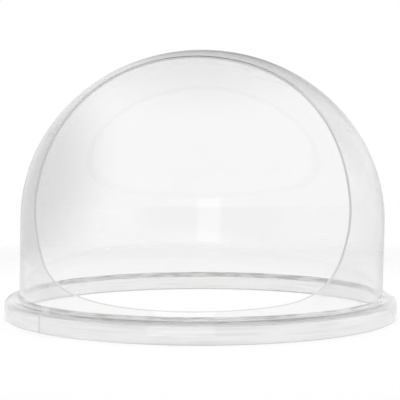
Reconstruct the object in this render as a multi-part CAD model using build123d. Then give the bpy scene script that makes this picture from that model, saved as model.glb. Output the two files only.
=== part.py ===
from build123d import *
import os
from math import radians, sin

os.makedirs("parts", exist_ok=True)

# Clear bubble cover for a candyfloss machine, in millimetres with +Z up.
# The origin is the centre of the circle the rim stands on, and the opening faces -Y.

# Dome and wall
total_height = 350.0
wall_outer_radius = 240.8
wall_thickness = 2.2
crown_thickness = 2.0
wall_top_z = 125.0
crown_arc_angle = 89
dome_lean = 1.4
foot_spare = 10.0

# Side profile of the front opening, as (y, z) points on a smooth curve from the sill to the crown
sill_start = (-242.8, 34.7)
opening_top = (-93.3, 354.2)
opening_profile = [
    sill_start,
    (-216.9, 40.6),
    (-181.7, 57.5),
    (-156.4, 93.5),
    (-144.5, 138.8),
    (-136.6, 183.4),
    (-123.6, 228.4),
    (-105.5, 276.4),
    (-91.6, 324.0),
    opening_top,
]
cutter_reach_y = -300.0
opening_edge_round = 0.6

# Rim ring: a rolled angle section with a flat shoulder and a short skirt
rim_outer_radius = 260.0
rim_thickness = 4.5
shoulder_top_z = 26.0
rim_corner_radius = 10.0
skirt_edge_radius = 2.0

# Solvent cement
bead_leg = 3.0
bead_clearance = 0.15
joint_angle = -41.3
joint_width = 1.2

wall_inner_radius = wall_outer_radius - wall_thickness
shoulder_bottom_z = shoulder_top_z - rim_thickness
skirt_inner_radius = rim_outer_radius - rim_thickness


def closed_face(*edges):
    return make_face(Curve() + list(edges))


def revolved(section):
    return revolve(Plane.XZ * section, Axis.Z, 360)


def dome_arc(radius, crown_z):
    # A quarter ellipse that stops a degree short of the pole, where a coin-sized flat closes it.
    height = (crown_z - wall_top_z) / sin(radians(crown_arc_angle))
    centre = (0, wall_top_z)
    return EllipticalCenterArc(centre, radius, height, start_angle=0, arc_size=crown_arc_angle)


def shell_section():
    # The foot is left long here and trimmed once the shell leans.
    outer = dome_arc(wall_outer_radius, total_height)
    inner = dome_arc(wall_inner_radius, total_height - crown_thickness)
    outer_flat = Line(outer @ 1, (0, total_height))
    axis = Line((0, total_height), (0, total_height - crown_thickness))
    inner_flat = Line(axis @ 1, inner @ 1)
    foot_z = shoulder_bottom_z - foot_spare
    inside = Line(inner @ 0, (wall_inner_radius, foot_z))
    foot = Line(inside @ 1, (wall_outer_radius, foot_z))
    outside = Line(foot @ 1, outer @ 0)
    return closed_face(outer, outer_flat, axis, inner_flat, inner, inside, foot, outside)


def opening_cutter():
    # The front of the shell is sawn off along one curve, straight across from side to side.
    saw_cut = Spline(*opening_profile)
    sill = Line((cutter_reach_y, sill_start[1]), sill_start)
    top = Line(opening_top, (cutter_reach_y, opening_top[1]))
    front = Line(top @ 1, sill @ 0)
    return extrude(Plane.YZ * closed_face(sill, saw_cut, top, front), rim_outer_radius, both=True)


def leaned(piece):
    # The blown shell stands a little askew, towards +X, about the middle of the shoulder.
    return Pos(Z=shoulder_top_z) * Rot(Y=dome_lean) * Pos(Z=-shoulder_top_z) * piece


def dome_shell():
    # The foot of the wall ends flush with the underside of the shoulder.
    shell = revolved(shell_section()) - opening_cutter()
    cut_edges = [edge for edge in shell.edges() if on_saw_cut(edge)]
    spare = Cylinder(rim_outer_radius, 2 * shoulder_bottom_z)
    return leaned(fillet(cut_edges, opening_edge_round)) - spare


def wall_core():
    # The space that the leaning wall takes up, with all it encloses.
    return leaned(Cylinder(wall_outer_radius, total_height))


def on_saw_cut(edge):
    # Every edge of the opening is a spline, and so is nothing else on the shell.
    return edge.geom_type == GeomType.BSPLINE and edge.length > 2 * wall_thickness


def rim_section():
    # From the wall out along the shoulder, round the corner, down the skirt and back inside.
    outer_x = rim_outer_radius
    inner_x = skirt_inner_radius
    inner_corner = rim_corner_radius - rim_thickness
    outer_bend = (outer_x - rim_corner_radius, shoulder_top_z - rim_corner_radius)
    inner_bend_z = shoulder_bottom_z - inner_corner
    shoulder = Line((wall_inner_radius, shoulder_top_z), (outer_bend[0], shoulder_top_z))
    outer_arc = RadiusArc(shoulder @ 1, (outer_x, outer_bend[1]), rim_corner_radius)
    skirt = Line(outer_arc @ 1, (outer_x, skirt_edge_radius))
    edge_arc = RadiusArc(skirt @ 1, (outer_x - skirt_edge_radius, 0), skirt_edge_radius)
    under = Line(edge_arc @ 1, (inner_x, 0))
    inside = Line(under @ 1, (inner_x, inner_bend_z))
    inner_arc = RadiusArc(inside @ 1, (inner_x - inner_corner, shoulder_bottom_z), -inner_corner)
    underside = Line(inner_arc @ 1, (wall_inner_radius, shoulder_bottom_z))
    bore = Line(underside @ 1, shoulder @ 0)
    return closed_face(shoulder, outer_arc, skirt, edge_arc, under, inside, inner_arc, underside, bore)


def joint_slot():
    # The two ends of the rolled ring face each other across this narrow radial gap.
    slot = Box(joint_width, rim_outer_radius, 2 * rim_outer_radius)
    return Rot(Z=joint_angle) * (Pos(Y=-rim_outer_radius) * slot)


def bead_section():
    # Small straight-faced fillet in the corner between the wall and the shoulder, clear of the leaning wall.
    inside = wall_outer_radius + bead_clearance
    corner = (inside, shoulder_top_z)
    on_shoulder = (inside + bead_leg, shoulder_top_z)
    on_wall = (inside, shoulder_top_z + bead_leg)
    return closed_face(Line(on_shoulder, on_wall), Line(on_wall, corner), Line(corner, on_shoulder))


full_ring = revolved(rim_section()) - wall_core()
pieces = {
    "dome_shell": dome_shell(),
    "rim_ring": full_ring - joint_slot(),
    "foot_cement": revolved(bead_section()),
    "seam_cement": full_ring & joint_slot(),
}

for name, piece in pieces.items():
    export_step(piece, f"parts/{name}.step")
    print(name, round(piece.volume), piece.bounding_box())
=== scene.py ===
import math

import bpy
import numpy as np
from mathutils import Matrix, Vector


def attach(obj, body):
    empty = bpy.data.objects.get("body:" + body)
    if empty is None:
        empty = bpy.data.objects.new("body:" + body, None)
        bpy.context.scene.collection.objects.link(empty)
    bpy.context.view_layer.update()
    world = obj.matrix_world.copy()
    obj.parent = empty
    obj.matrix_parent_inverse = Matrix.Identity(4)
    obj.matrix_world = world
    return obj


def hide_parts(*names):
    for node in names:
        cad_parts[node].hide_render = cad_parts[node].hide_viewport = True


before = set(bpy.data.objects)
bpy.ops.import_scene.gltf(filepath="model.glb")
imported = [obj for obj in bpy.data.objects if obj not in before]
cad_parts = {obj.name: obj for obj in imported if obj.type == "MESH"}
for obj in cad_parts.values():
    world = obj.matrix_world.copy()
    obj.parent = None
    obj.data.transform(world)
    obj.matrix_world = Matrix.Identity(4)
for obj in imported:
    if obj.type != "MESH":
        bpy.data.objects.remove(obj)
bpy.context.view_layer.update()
scene = bpy.context.scene

# small helpers for node trees

def linkOrSet(tree, value, socket):
    if isinstance(value, bpy.types.NodeSocket):
        tree.links.new(value, socket)
    else:
        socket.default_value = value


def addNode(tree, kind, settings=None, inputs=None):
    node = tree.nodes.new(kind)
    for name, value in (settings or {}).items():
        setattr(node, name, value)
    for key, value in (inputs or {}).items():
        linkOrSet(tree, value, node.inputs[key])
    return node


def calculator(tree):
    # calc("MULTIPLY", a, b) adds a Math node, where a and b are numbers or sockets
    def calc(operation, *values):
        return addNode(tree, "ShaderNodeMath", {"operation": operation}, dict(enumerate(values))).outputs[0]
    return calc


def newFormTree(name, numbers):
    # a geometry tree with one mesh in, one mesh out, a material and named sizes
    tree = bpy.data.node_groups.new(name, "GeometryNodeTree")
    face = tree.interface
    face.new_socket("Mesh", in_out="INPUT", socket_type="NodeSocketGeometry")
    face.new_socket("Material", in_out="INPUT", socket_type="NodeSocketMaterial")
    for number in numbers:
        face.new_socket(number, in_out="INPUT", socket_type="NodeSocketFloat")
    face.new_socket("Mesh", in_out="OUTPUT", socket_type="NodeSocketGeometry")
    return tree, tree.nodes.new("NodeGroupInput").outputs


def endFormTree(tree, source, mesh, second=None):
    # second is an optional pair: a true-or-false face attribute, and the input that holds its material
    smooth = addNode(tree, "GeometryNodeSetShadeSmooth", None, {"Geometry": mesh})
    real = addNode(tree, "GeometryNodeRealizeInstances", None, {"Geometry": smooth.outputs[0]})
    painted = addNode(tree, "GeometryNodeSetMaterial", None,
                      {"Geometry": real.outputs[0], "Material": source["Material"]})
    if second:
        chosen = addNode(tree, "GeometryNodeInputNamedAttribute", {"data_type": "BOOLEAN"},
                         {"Name": second[0]})
        painted = addNode(tree, "GeometryNodeSetMaterial", None,
                          {"Geometry": painted.outputs[0], "Selection": chosen.outputs[0],
                           "Material": source[second[1]]})
    tree.links.new(painted.outputs[0], tree.nodes.new("NodeGroupOutput").inputs[0])


def formPiece(name, mesh, tree, material, sizes, sharpAngle):
    # runs the tree on a base mesh and keeps the result as a plain mesh
    piece = bpy.data.objects.new(name, mesh)
    scene.collection.objects.link(piece)
    modifier = piece.modifiers.new(tree.name, "NODES")
    modifier.node_group = tree
    for item in tree.interface.items_tree:
        if item.in_out == "INPUT" and item.name in sizes:
            modifier[item.identifier] = sizes[item.name]
        elif item.in_out == "INPUT" and item.name == "Material":
            modifier[item.identifier] = material
    depsgraph = bpy.context.evaluated_depsgraph_get()
    formed = bpy.data.meshes.new_from_object(piece.evaluated_get(depsgraph))
    piece.modifiers.remove(modifier)
    piece.data = formed
    formed.set_sharp_from_angle(angle=math.radians(sharpAngle))
    print(name, "formed,", len(formed.polygons), "faces")
    return piece


def roundedSection(corners, steps):
    # corners are (radius from the axis, height, rounding); each becomes an arc that touches both its sides
    points = []
    spots = [Vector(corner[:2]) for corner in corners]
    for i, (here, rounding) in enumerate(zip(spots, [corner[2] for corner in corners])):
        back = (spots[i - 1] - here).normalized()
        on = (spots[(i + 1) % len(spots)] - here).normalized()
        half = back.angle(on) / 2
        centre = here + (back + on).normalized() * rounding / math.sin(half)
        first = here + back * rounding / math.tan(half) - centre
        last = here + on * rounding / math.tan(half) - centre
        turn = math.pi - 2 * half
        for step in range(steps + 1):
            share = step / steps
            points.append(centre + (first * math.sin((1 - share) * turn) + last * math.sin(share * turn))
                          / math.sin(turn))
    return points


# materials

marks = {
    "smudgeScale": 9.0,
    "smudgeEdge": (0.52, 0.74),
    "dustScale": 900.0,
    "dustEdge": (0.70, 0.82),
    "scratchScale": 34.0,
    "scratchWidth": 0.012,
    "scratchBendScale": 3.0,
    "scratchBend": (0.12, 0.12, 0.12),
    "scratchPatchScale": 21.0,
    "scratchPatchEdge": (0.58, 0.66),
}


def buildHandlingMarks():
    # faint smudges, specks of dust and hairline scratches, as masks
    tree = bpy.data.node_groups.new("handlingMarks", "ShaderNodeTree")
    tree.interface.new_socket("Vector", in_out="INPUT", socket_type="NodeSocketVector")
    tree.interface.new_socket("Smudge", in_out="OUTPUT", socket_type="NodeSocketFloat")
    tree.interface.new_socket("Dust", in_out="OUTPUT", socket_type="NodeSocketFloat")
    tree.interface.new_socket("Scratch", in_out="OUTPUT", socket_type="NodeSocketFloat")
    place = tree.nodes.new("NodeGroupInput").outputs["Vector"]
    out = tree.nodes.new("NodeGroupOutput")

    def softMask(value, low, high):
        band = addNode(tree, "ShaderNodeMapRange", {"interpolation_type": "SMOOTHSTEP"},
                       {"Value": value, "From Min": low, "From Max": high})
        return band.outputs[0]

    smudge = addNode(tree, "ShaderNodeTexNoise", None,
                     {"Vector": place, "Scale": marks["smudgeScale"], "Detail": 4.0, "Roughness": 0.6,
                      "Distortion": 0.8})
    dust = addNode(tree, "ShaderNodeTexNoise", None,
                   {"Vector": place, "Scale": marks["dustScale"], "Detail": 1.0})
    bent = addNode(tree, "ShaderNodeTexNoise", None,
                   {"Vector": place, "Scale": marks["scratchBendScale"], "Detail": 1.0})
    pushed = addNode(tree, "ShaderNodeVectorMath", {"operation": "MULTIPLY_ADD"},
                     {0: bent.outputs["Color"], 1: marks["scratchBend"], 2: place})
    cells = addNode(tree, "ShaderNodeTexVoronoi", {"feature": "DISTANCE_TO_EDGE"},
                    {"Vector": pushed.outputs[0], "Scale": marks["scratchScale"]})
    patchy = addNode(tree, "ShaderNodeTexNoise", None,
                     {"Vector": place, "Scale": marks["scratchPatchScale"], "Detail": 2.0})
    calc = calculator(tree)
    line = calc("SUBTRACT", 1.0, softMask(cells.outputs["Distance"], 0.0, marks["scratchWidth"]))
    scratch = calc("MULTIPLY", line, softMask(patchy.outputs[0], *marks["scratchPatchEdge"]))
    tree.links.new(softMask(smudge.outputs[0], *marks["smudgeEdge"]), out.inputs["Smudge"])
    tree.links.new(softMask(dust.outputs[0], *marks["dustEdge"]), out.inputs["Dust"])
    tree.links.new(scratch, out.inputs["Scratch"])
    return tree


handlingMarks = buildHandlingMarks()

acrylic = {
    "clean": (0.925, 0.928, 0.926, 1.0),
    "dusty": (0.86, 0.865, 0.86, 1.0),
    "roughness": (0.05, 0.10),
    "ior": 1.49,
    "waveScale": 5.0,
    "waveHeight": 0.0006,
    "scratchHeight": 0.00002,
    "shadowTint": (0.994, 0.994, 0.994, 1.0),
    "smudgeTint": 0.25,
    "grainScale": 10.0,
    "streakScale": (4.0, 4.0, 40.0),
    "streakEdge": (0.55, 0.75),
    "streaks": 0.0,
    "transmission": 1.0,
}


def clearPlastic(name, look):
    # clear plastic that lets soft light through, so that it doesn't throw a black shadow
    material = bpy.data.materials.new(name)
    material.use_nodes = True
    tree = material.node_tree
    tree.nodes.clear()
    calc = calculator(tree)
    place = addNode(tree, "ShaderNodeTexCoord").outputs["Object"]
    worn = addNode(tree, "ShaderNodeGroup", {"node_tree": handlingMarks}, {"Vector": place}).outputs
    wave = addNode(tree, "ShaderNodeTexNoise", None,
                   {"Vector": place, "Scale": look["waveScale"], "Detail": 1.0})
    waveHeight = calc("MULTIPLY", wave.outputs[0], look["waveHeight"])
    cut = calc("MULTIPLY", worn["Scratch"], -look["scratchHeight"])
    bump = addNode(tree, "ShaderNodeBump", None,
                   {"Height": calc("ADD", waveHeight, cut), "Strength": 1.0, "Distance": 1.0})
    drawn = addNode(tree, "ShaderNodeVectorMath", {"operation": "MULTIPLY"},
                    {0: place, 1: look["streakScale"]})
    run = addNode(tree, "ShaderNodeTexNoise", None,
                  {"Vector": drawn.outputs[0], "Scale": look["grainScale"], "Detail": 3.0})
    streak = addNode(tree, "ShaderNodeMapRange", {"interpolation_type": "SMOOTHSTEP"},
                     {"Value": run.outputs[0], "From Min": look["streakEdge"][0],
                      "From Max": look["streakEdge"][1], "To Max": look["streaks"]})
    soiled = calc("MAXIMUM", worn["Dust"], calc("MULTIPLY", worn["Smudge"], look["smudgeTint"]))
    tint = addNode(tree, "ShaderNodeMix", {"data_type": "RGBA"},
                   {"Factor": calc("MAXIMUM", soiled, streak.outputs[0]),
                    6: look["clean"], 7: look["dusty"]})
    rough = addNode(tree, "ShaderNodeMapRange", None,
                    {"Value": calc("MAXIMUM", worn["Smudge"], worn["Dust"]),
                     "To Min": look["roughness"][0], "To Max": look["roughness"][1]})
    glass = addNode(tree, "ShaderNodeBsdfPrincipled", None,
                    {"Base Color": tint.outputs[2], "Roughness": rough.outputs[0], "IOR": look["ior"],
                     "Transmission Weight": look["transmission"], "Normal": bump.outputs[0]})
    clear = addNode(tree, "ShaderNodeBsdfTransparent", None, {"Color": look["shadowTint"]})
    path = addNode(tree, "ShaderNodeLightPath").outputs
    blend = addNode(tree, "ShaderNodeMixShader", None,
                    {0: calc("MAXIMUM", path["Is Shadow Ray"], path["Is Diffuse Ray"]),
                     1: glass.outputs[0], 2: clear.outputs[0]})
    addNode(tree, "ShaderNodeOutputMaterial", None, {"Surface": blend.outputs[0]})
    return material


clearAcrylic = clearPlastic("clearAcrylic", acrylic)
rimLook = dict(acrylic, clean=(0.87, 0.875, 0.87, 1.0), dusty=(0.64, 0.645, 0.64, 1.0), waveScale=14.0,
               waveHeight=0.0008, streakScale=(1.4, 1.4, 26.0), streakEdge=(0.42, 0.72), streaks=0.35,
               transmission=0.88)
thickAcrylic = clearPlastic("thickAcrylic", rimLook)
cementLook = dict(acrylic, clean=(0.86, 0.865, 0.86, 1.0), dusty=(0.56, 0.565, 0.56, 1.0),
                  roughness=(0.15, 0.35), ior=1.47, waveScale=160.0, waveHeight=0.0002,
                  streakEdge=(0.36, 0.66), streaks=1.0, transmission=0.2)
solventCement = clearPlastic("solventCement", cementLook)
# the seam cement is pale and mostly matt: partly the cement's own colour, partly a painted glint where the
# joint crosses the rim
seamLook = dict(rimLook, clean=(0.95, 0.95, 0.95, 1.0), roughness=(0.1, 0.3), ior=1.48, transmission=0.3)
seamCement = clearPlastic("seamCement", seamLook)

sawnLook = {
    "colour": (0.82, 0.825, 0.825, 1.0),
    "shade": (0.66, 0.665, 0.665, 1.0),
    # the glow below is painted light: an emission that stands in for light that the sheet carries to its
    # edge
    "glow": 0.04,               # light that the sheet carries to its edge
    "grain": 700.0,
    "grainHeight": 0.00004,
    "patchScale": 24.0,
    "ior": 1.49,
    "roughness": 0.45,
}


def sawnPlastic(name, look):
    # the matt face that the saw leaves round the opening, with a faint painted glow on it
    material = bpy.data.materials.new(name)
    material.use_nodes = True
    tree = material.node_tree
    tree.nodes.clear()
    place = addNode(tree, "ShaderNodeTexCoord").outputs["Object"]
    grain = addNode(tree, "ShaderNodeTexNoise", None,
                    {"Vector": place, "Scale": look["grain"], "Detail": 3.0})
    patchy = addNode(tree, "ShaderNodeTexNoise", None,
                     {"Vector": place, "Scale": look["patchScale"], "Detail": 3.0})
    tint = addNode(tree, "ShaderNodeMix", {"data_type": "RGBA"},
                   {"Factor": patchy.outputs[0], 6: look["colour"], 7: look["shade"]})
    bump = addNode(tree, "ShaderNodeBump", None,
                   {"Height": grain.outputs[0], "Strength": 1.0, "Distance": look["grainHeight"]})
    # the emission here is a painted glow, not a lamp
    face = addNode(tree, "ShaderNodeBsdfPrincipled", None,
                   {"Base Color": tint.outputs[2], "Roughness": look["roughness"],
                    "IOR": look["ior"], "Emission Color": look["colour"],
                    "Emission Strength": look["glow"], "Normal": bump.outputs[0]})
    addNode(tree, "ShaderNodeOutputMaterial", None, {"Surface": face.outputs[0]})
    return material


sawnEdge = sawnPlastic("sawnEdge", sawnLook)
print("materials ready")

# dome and wall: a flat sheet with a hole, formed over an ellipsoid and a straight wall

dome = {
    "wallRadius": 0.2408,
    "wallTop": 0.125,
    "crownRise": 0.225,
    "lean": 1.4,                # degrees towards +X, about the middle of the shoulder
    "leanHeight": 0.026,
    "leanFade": 0.02,           # the lean comes in over this height
    "wallThickness": 0.0022,
    "crownThickness": 0.002,
    "footHeight": 0.0215,
    "sheetScale": 0.233,
    "edgeRound": 0.0006,
    "around": 400,
    "across": 100,
    "edgeSteps": 4,
    "cutSamples": 20000,
    "angleSamples": 20001,
    "sharpAngle": 50,
    # side profile of the sawn opening, (y, z) in metres
    "sawCut": [(-0.2428, 0.0347), (-0.2169, 0.0406), (-0.1817, 0.0575), (-0.1564, 0.0935),
               (-0.1445, 0.1388), (-0.1366, 0.1834), (-0.1236, 0.2284), (-0.1055, 0.2764),
               (-0.0916, 0.324), (-0.0933, 0.3542)],
}


def splineThrough(points, count):
    # natural cubic spline through the points, with chord length as its parameter
    points = np.array(points)
    spans = np.hypot(*np.diff(points, axis=0).T)
    knots = np.concatenate([[0.0], np.cumsum(spans)])
    size = len(points)
    system = np.eye(size)
    pull = np.zeros((size, 2))
    slopes = np.diff(points, axis=0) / spans[:, None]
    for i in range(1, size - 1):
        system[i, i - 1:i + 2] = spans[i - 1], 2 * (spans[i - 1] + spans[i]), spans[i]
        pull[i] = 6 * (slopes[i] - slopes[i - 1])
    bends = np.linalg.solve(system, pull)
    at = np.linspace(0, knots[-1], count)
    k = np.clip(np.searchsorted(knots, at, side="right") - 1, 0, size - 2)
    h = spans[k][:, None]
    left = (knots[k + 1] - at)[:, None]
    right = (at - knots[k])[:, None]
    return (bends[k] * left**3 + bends[k + 1] * right**3) / (6 * h) \
        + (points[k] / h - bends[k] * h / 6) * left + (points[k + 1] / h - bends[k + 1] * h / 6) * right


def openingOnSheet(depth):
    # the saw cut where it meets the outer face (depth 0) or the inner face (depth 1), laid flat:
    # its distance from the middle of the hole at every angle
    radius = dome["wallRadius"] - depth * dome["wallThickness"]
    rise = dome["crownRise"] - depth * dome["crownThickness"]
    y, z = splineThrough(dome["sawCut"], dome["cutSamples"]).T
    up = np.clip((z - dome["wallTop"]) / rise, 0, 1)
    reach = radius * np.sqrt(1 - up**2)
    side = reach**2 - y**2
    inside = side > 0
    y, up, z, reach = y[inside], up[inside], z[inside], reach[inside]
    x = np.sqrt(side[inside])
    flat = np.arccos(up) * dome["sheetScale"] + np.maximum(dome["wallTop"] - z, 0)
    return np.stack([flat * x / reach, flat * y / reach], 1)


def buildSheet():
    outer = openingOnSheet(0)
    inner = openingOnSheet(1)
    middle = np.array([0.0, (outer[0, 1] + outer[-1, 1]) / 2])
    footReach = dome["sheetScale"] * math.pi / 2 + dome["wallTop"] - dome["footHeight"]

    def holeReach(points, angles):
        away = points - middle
        seen = np.arctan2(away[:, 0], -away[:, 1])   # 0 at the sill, pi at the crown
        return np.interp(np.abs(angles), seen, np.hypot(*away.T))

    def footDistance(angles):
        ray = np.stack([np.sin(angles), -np.cos(angles)], 1)
        along = ray @ middle
        return -along + np.sqrt(along**2 - middle @ middle + footReach**2)

    # spread the columns evenly along the hole and the foot together
    fine = np.linspace(-math.pi, math.pi, dome["angleSamples"])
    ray = np.stack([np.sin(fine), -np.cos(fine)], 1)
    spread = 0
    for reach in (holeReach(outer, fine), footDistance(fine)):
        steps = np.hypot(*np.diff(ray * reach[:, None], axis=0).T)
        spread = spread + np.concatenate([[0], np.cumsum(steps)]) / steps.sum()
    columns = np.linspace(0, spread[-1], dome["around"], endpoint=False)
    angles = np.interp(columns, spread, fine)
    ray = np.stack([np.sin(angles), -np.cos(angles)], 1)
    foot = footDistance(angles)
    holeOut, holeIn = holeReach(outer, angles), holeReach(inner, angles)

    # one loop of (share of the way to the foot, set back from the edge, depth) round the wall's section
    turns = [math.pi / 2 * k / dome["edgeSteps"] for k in range(dome["edgeSteps"] + 1)]
    radius = dome["edgeRound"]
    edge = [(0, radius * (1 - math.sin(turn)), radius * (1 - math.cos(turn)) / dome["wallThickness"])
            for turn in turns]
    rows = [k / dome["across"] for k in range(1, dome["across"] + 1)]
    loop = [(share, radius, 0) for share in reversed(rows)] + edge
    loop += [(share, back, 1 - depth) for share, back, depth in reversed(edge)]
    loop += [(share, radius, 1) for share in rows]

    vertices, depths = [], []
    for share, back, depth in loop:
        hole = holeOut * (1 - depth) + holeIn * depth
        distance = hole + back + share * (foot - hole - back)
        flat = middle + ray * distance[:, None]
        vertices.append(np.column_stack([flat, np.zeros(len(flat))]))
        depths += [depth] * len(flat)
    around, tall = dome["around"], len(loop)
    faces = []
    for k in range(tall):
        here, above = k * around, (k + 1) % tall * around
        faces += [(here + n, here + (n + 1) % around, above + (n + 1) % around, above + n)
                  for n in range(around)]
    mesh = bpy.data.meshes.new("domeSheet")
    mesh.from_pydata(np.concatenate(vertices).tolist(), [], faces)
    mesh.attributes.new("depth", "FLOAT", "POINT").data.foreach_set("value", depths)
    firstSawn = dome["across"] * around
    sawn = [firstSawn <= n < firstSawn + (2 * dome["edgeSteps"] + 1) * around for n in range(len(faces))]
    mesh.attributes.new("sawn", "BOOLEAN", "FACE").data.foreach_set("value", sawn)
    return mesh


def buildDomeForm():
    tree, source = newFormTree("domeForm", ["Wall Radius", "Wall Top", "Crown Rise", "Wall Thickness",
                                            "Crown Thickness", "Sheet Scale", "Lean", "Lean Height",
                                            "Lean Fade"])
    tree.interface.new_socket("Sawn Material", in_out="INPUT", socket_type="NodeSocketMaterial")
    calc = calculator(tree)
    spot = addNode(tree, "ShaderNodeSeparateXYZ", None,
                   {0: tree.nodes.new("GeometryNodeInputPosition").outputs[0]}).outputs
    depth = addNode(tree, "GeometryNodeInputNamedAttribute", {"data_type": "FLOAT"},
                    {"Name": "depth"}).outputs[0]
    reach = calc("SQRT", calc("ADD", calc("MULTIPLY", spot[0], spot[0]),
                              calc("MULTIPLY", spot[1], spot[1])))
    quarter = calc("MULTIPLY", source["Sheet Scale"], math.pi / 2)
    bend = calc("DIVIDE", calc("MINIMUM", reach, quarter), source["Sheet Scale"])
    radius = calc("SUBTRACT", source["Wall Radius"], calc("MULTIPLY", depth, source["Wall Thickness"]))
    rise = calc("SUBTRACT", source["Crown Rise"], calc("MULTIPLY", depth, source["Crown Thickness"]))
    pull = calc("DIVIDE", calc("MULTIPLY", radius, calc("SINE", bend)), calc("MAXIMUM", reach, 1e-6))
    drop = calc("MAXIMUM", calc("SUBTRACT", reach, quarter), 0.0)
    above = calc("MULTIPLY", rise, calc("COSINE", bend))
    height = calc("SUBTRACT", calc("ADD", source["Wall Top"], above), drop)
    formed = addNode(tree, "ShaderNodeCombineXYZ", None,
                     {0: calc("MULTIPLY", spot[0], pull), 1: calc("MULTIPLY", spot[1], pull), 2: height})
    moved = addNode(tree, "GeometryNodeSetPosition", None,
                    {"Geometry": source["Mesh"], "Position": formed.outputs[0]})
    pivot = addNode(tree, "ShaderNodeCombineXYZ", None, {2: source["Lean Height"]})
    standing = addNode(tree, "GeometryNodeInputPosition")
    leaning = addNode(tree, "ShaderNodeVectorRotate", {"rotation_type": "Y_AXIS"},
                      {"Vector": standing.outputs[0], "Center": pivot.outputs[0], "Angle": source["Lean"]})
    # the rim holds the foot of the wall level, and the lean starts just above it
    standingHeight = addNode(tree, "ShaderNodeSeparateXYZ", None, {0: standing.outputs[0]}).outputs[2]
    hold = addNode(tree, "ShaderNodeMapRange", {"interpolation_type": "SMOOTHSTEP"},
                   {"Value": standingHeight, "From Min": source["Lean Height"],
                    "From Max": calc("ADD", source["Lean Height"], source["Lean Fade"])})
    placed = addNode(tree, "ShaderNodeMix", {"data_type": "VECTOR"},
                     {"Factor": hold.outputs[0], 4: standing.outputs[0], 5: leaning.outputs[0]})
    settled = addNode(tree, "GeometryNodeSetPosition", None,
                      {"Geometry": moved.outputs[0], "Position": placed.outputs[1]})
    endFormTree(tree, source, settled.outputs[0], ("sawn", "Sawn Material"))
    return tree


domeSizes = {"Wall Radius": dome["wallRadius"], "Wall Top": dome["wallTop"],
             "Crown Rise": dome["crownRise"], "Wall Thickness": dome["wallThickness"],
             "Crown Thickness": dome["crownThickness"], "Sheet Scale": dome["sheetScale"],
             "Lean": math.radians(dome["lean"]), "Lean Height": dome["leanHeight"],
             "Lean Fade": dome["leanFade"], "Sawn Material": sawnEdge}
blownDome = formPiece("blownDome", buildSheet(), buildDomeForm(), clearAcrylic, domeSizes,
                      dome["sharpAngle"])
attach(blownDome, "root")
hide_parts("dome_shell")

# rim ring and cement bead: a cross-section swept round the vertical axis

def buildRollForm():
    tree, source = newFormTree("rollForm", ["Radius", "Height", "Start Angle", "Sweep Angle", "Wobble",
                                            "Wobble Scale"])
    tree.interface.new_socket("Steps", in_out="INPUT", socket_type="NodeSocketInt")
    tree.interface.new_socket("Closed", in_out="INPUT", socket_type="NodeSocketBool")
    calc = calculator(tree)
    arc = addNode(tree, "GeometryNodeCurveArc", None,
                  {"Resolution": source["Steps"], "Radius": source["Radius"],
                   "Start Angle": source["Start Angle"], "Sweep Angle": source["Sweep Angle"]})
    lift = addNode(tree, "ShaderNodeCombineXYZ", None, {2: source["Height"]})
    lifted = addNode(tree, "GeometryNodeSetPosition", None,
                     {"Geometry": arc.outputs[0], "Offset": lift.outputs[0]})
    path = addNode(tree, "GeometryNodeSetSplineCyclic", None,
                   {"Geometry": lifted.outputs[0], "Cyclic": source["Closed"]})
    noise = addNode(tree, "ShaderNodeTexNoise", None, {"Scale": source["Wobble Scale"], "Detail": 2.0})
    swell = calc("MULTIPLY_ADD", calc("SUBTRACT", noise.outputs[0], 0.5), source["Wobble"], 1.0)
    section = addNode(tree, "GeometryNodeMeshToCurve", None, {0: source["Mesh"]})
    swept = addNode(tree, "GeometryNodeCurveToMesh", None,
                    {"Curve": path.outputs[0], "Profile Curve": section.outputs[0], "Scale": swell,
                     "Fill Caps": True})
    endFormTree(tree, source, swept.outputs[0])
    return tree


def sectionMesh(name, points, radius, height):
    # the sweep lays a section's x outwards and its y downwards
    mesh = bpy.data.meshes.new(name)
    flat = [(r - radius, height - z, 0) for r, z in points]
    mesh.from_pydata(flat, [(n, (n + 1) % len(flat)) for n in range(len(flat))], [])
    return mesh


rollForm = buildRollForm()

rim = {
    "outerRadius": 0.260,
    "boreRadius": 0.2412,       # a film of cement fills the gap to the wall
    "shoulderTop": 0.026,
    "thickness": 0.0045,
    "cornerRadius": 0.010,
    "skirtEdge": 0.002,
    "smallRound": 0.0004,
    "cornerSteps": 10,
    "around": 480,
    "jointAngle": -41.3,        # degrees round from the middle of the opening
    "jointWidth": 0.0012,
    "sharpAngle": 60,
}


def buildRim():
    outer, bore, top = rim["outerRadius"], rim["boreRadius"], rim["shoulderTop"]
    inner, bottom = outer - rim["thickness"], top - rim["thickness"]
    small = rim["smallRound"]
    corners = [(bore, top, small), (outer, top, rim["cornerRadius"]), (outer, 0, rim["skirtEdge"]),
               (inner, 0, small), (inner, bottom, rim["cornerRadius"] - rim["thickness"]),
               (bore, bottom, small)]
    section = sectionMesh("rimSection", roundedSection(corners, rim["cornerSteps"]), outer, 0)
    halfJoint = rim["jointWidth"] / 2 / outer
    start = math.radians(rim["jointAngle"] - 90) + halfJoint
    sizes = {"Radius": outer, "Height": 0.0, "Start Angle": start,
             "Sweep Angle": math.tau - 2 * halfJoint, "Steps": rim["around"], "Closed": False,
             "Wobble": 0.0, "Wobble Scale": 1.0}
    return formPiece("rolledRim", section, rollForm, thickAcrylic, sizes, rim["sharpAngle"])


rolledRim = buildRim()
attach(rolledRim, "root")
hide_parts("rim_ring")

bead = {
    "leg": 0.0029,
    "hollow": 0.0003,
    "steps": 6,
    "airGap": 0.00005,
    "filmDepth": 0.0044,
    "around": 720,
    "wobble": 0.3,
    "wobbleScale": 60.0,
    "sharpAngle": 50,
}


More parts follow.
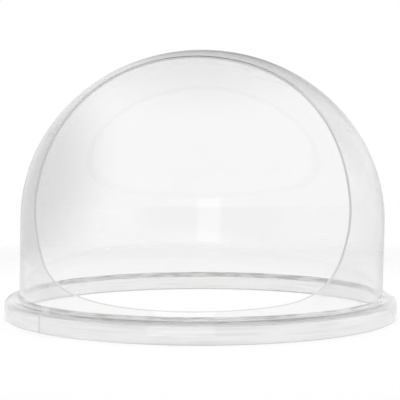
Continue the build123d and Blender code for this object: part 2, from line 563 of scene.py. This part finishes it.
def buildBead():
    # a fillet on the shoulder and the film below it, between the wall and the ring's bore
    gap, leg, steps = bead["airGap"], bead["leg"], bead["steps"]
    wallSide, boreSide = dome["wallRadius"] + gap, rim["boreRadius"] - gap
    low = rim["shoulderTop"] + gap
    points = []
    for step in range(steps + 1):
        share = step / steps
        sag = bead["hollow"] * math.sin(math.pi * share)
        points.append((wallSide + leg * share - sag, low + leg * (1 - share) - sag))
    points += [(boreSide, low), (boreSide, low - bead["filmDepth"]), (wallSide, low - bead["filmDepth"])]
    middle = (wallSide + boreSide) / 2
    section = sectionMesh("beadSection", points, middle, low)
    sizes = {"Radius": middle, "Height": low, "Start Angle": 0.0,
             "Sweep Angle": math.tau * (1 - 1 / bead["around"]), "Steps": bead["around"], "Closed": True,
             "Wobble": bead["wobble"], "Wobble Scale": bead["wobbleScale"]}
    return formPiece("footBead", section, rollForm, solventCement, sizes, bead["sharpAngle"])


footBead = buildBead()
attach(footBead, "root")
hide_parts("foot_cement")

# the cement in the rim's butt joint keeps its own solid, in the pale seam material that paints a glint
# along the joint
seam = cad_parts["seam_cement"]
seam.data.materials.clear()
seam.data.materials.append(seamCement)

# floor, light and camera

floorLook = {"size": 3.0, "drop": 0.0006, "colour": (0.93, 0.93, 0.93, 1.0), "fade": (0.75, 1.35)}


def buildFloor():
    mesh = bpy.data.meshes.new("floor")
    half = floorLook["size"] / 2
    low = -floorLook["drop"]
    mesh.from_pydata([(-half, -half, low), (half, -half, low), (half, half, low), (-half, half, low)], [],
                     [(0, 1, 2, 3)])
    floor = bpy.data.objects.new("floor", mesh)
    scene.collection.objects.link(floor)
    material = bpy.data.materials.new("paleFloor")
    material.use_nodes = True
    tree = material.node_tree
    tree.nodes.clear()
    place = addNode(tree, "ShaderNodeTexCoord").outputs["Object"]
    away = addNode(tree, "ShaderNodeVectorMath", {"operation": "LENGTH"}, {0: place}).outputs["Value"]
    fade = addNode(tree, "ShaderNodeMapRange", {"interpolation_type": "SMOOTHSTEP"},
                   {"Value": away, "From Min": floorLook["fade"][0], "From Max": floorLook["fade"][1]})
    matt = addNode(tree, "ShaderNodeBsdfDiffuse", None, {"Color": floorLook["colour"]})
    gone = addNode(tree, "ShaderNodeBsdfTransparent")
    mix = addNode(tree, "ShaderNodeMixShader", None,
                  {0: fade.outputs[0], 1: matt.outputs[0], 2: gone.outputs[0]})
    addNode(tree, "ShaderNodeOutputMaterial", None, {"Surface": mix.outputs[0]})
    mesh.materials.append(material)


buildFloor()

studio = {
    "backdrop": (1.0, 1.0, 1.0, 1.0),
    "room": 0.46,
    # soft patches of light and shade: direction, degrees to the full part, degrees to the end, strength
    "patches": [((0.0, 1.0, 0.0), 25, 60, 0.54),
                ((0.0, -1.0, 0.0), 20, 70, -0.10),
                ((1.0, 0.0, 0.0), 20, 55, 0.70),
                ((-1.0, 0.0, 0.0), 15, 50, 0.30),
                ((0.10, 1.0, 0.62), 10, 26, -0.34),
                ((-0.11, 1.0, 0.25), 4, 12, -0.24),
                ((-0.354, 1.0, 0.0), 1, 9, -0.32)],
    # a low strip of light in front that only mirrors in the back wall
    "strip": {"size": (0.12, 0.16), "place": (0.002, -0.32, 0.074), "power": 0.07},
    "overhead": {"size": 2.6, "height": 2.4, "power": 41.0},
}


def buildWorld():
    world = bpy.data.worlds.new("studio")
    world.use_nodes = True
    scene.world = world
    tree = world.node_tree
    tree.nodes.clear()
    calc = calculator(tree)
    outwards = addNode(tree, "ShaderNodeTexCoord").outputs["Generated"]
    level = studio["room"]
    for direction, full, end, strength in studio["patches"]:
        towards = tuple(Vector(direction).normalized())
        facing = addNode(tree, "ShaderNodeVectorMath", {"operation": "DOT_PRODUCT"},
                         {0: outwards, 1: towards}).outputs["Value"]
        glow = addNode(tree, "ShaderNodeMapRange", {"interpolation_type": "SMOOTHSTEP"},
                       {"Value": facing, "From Min": math.cos(math.radians(end)),
                        "From Max": math.cos(math.radians(full)), "To Max": strength})
        level = calc("ADD", level, glow.outputs[0])
    grey = addNode(tree, "ShaderNodeCombineColor", None, {0: level, 1: level, 2: level})
    room = addNode(tree, "ShaderNodeBackground", None, {"Color": grey.outputs[0]})
    white = addNode(tree, "ShaderNodeBackground", None, {"Color": studio["backdrop"]})
    seen = addNode(tree, "ShaderNodeLightPath").outputs["Is Camera Ray"]
    mix = addNode(tree, "ShaderNodeMixShader", None, {0: seen, 1: room.outputs[0], 2: white.outputs[0]})
    addNode(tree, "ShaderNodeOutputWorld", None, {"Surface": mix.outputs[0]})


buildWorld()


def buildOverhead():
    light = bpy.data.lights.new("overhead", "AREA")
    light.shape = "DISK"
    light.size = studio["overhead"]["size"]
    light.energy = studio["overhead"]["power"]
    lamp = bpy.data.objects.new("overhead", light)
    lamp.location = (0, 0, studio["overhead"]["height"])
    lamp.visible_glossy = False
    lamp.visible_transmission = False
    scene.collection.objects.link(lamp)


buildOverhead()


def buildStrip():
    look = studio["strip"]
    light = bpy.data.lights.new("strip", "AREA")
    light.shape = "RECTANGLE"
    light.size, light.size_y = look["size"]
    light.energy = look["power"]
    lamp = bpy.data.objects.new("strip", light)
    lamp.location = look["place"]
    lamp.rotation_euler = (math.radians(90), 0, 0)
    lamp.visible_camera = False
    lamp.visible_diffuse = False
    lamp.visible_transmission = False
    scene.collection.objects.link(lamp)


buildStrip()

view = {
    "distance": 1.405,
    "height": 0.203,
    "aside": 6.2,               # degrees round from the middle of the opening
    "pitch": 2.42,              # degrees down
    "lens": 94.4,
    "shift": (-0.0022, 0.0138),
}


def buildCamera():
    camera = bpy.data.cameras.new("camera")
    camera.lens = view["lens"]
    camera.shift_x, camera.shift_y = view["shift"]
    holder = bpy.data.objects.new("camera", camera)
    turn, down = math.radians(view["aside"]), math.radians(view["pitch"])
    away = view["distance"]
    holder.location = (away * math.sin(turn), -away * math.cos(turn), view["height"])
    look = Vector((-math.sin(turn) * math.cos(down), math.cos(turn) * math.cos(down), -math.sin(down)))
    holder.rotation_euler = look.to_track_quat("-Z", "Y").to_euler()
    scene.collection.objects.link(holder)
    scene.camera = holder


buildCamera()
scene.view_settings.view_transform = "Standard"
print("stage, light and camera ready")
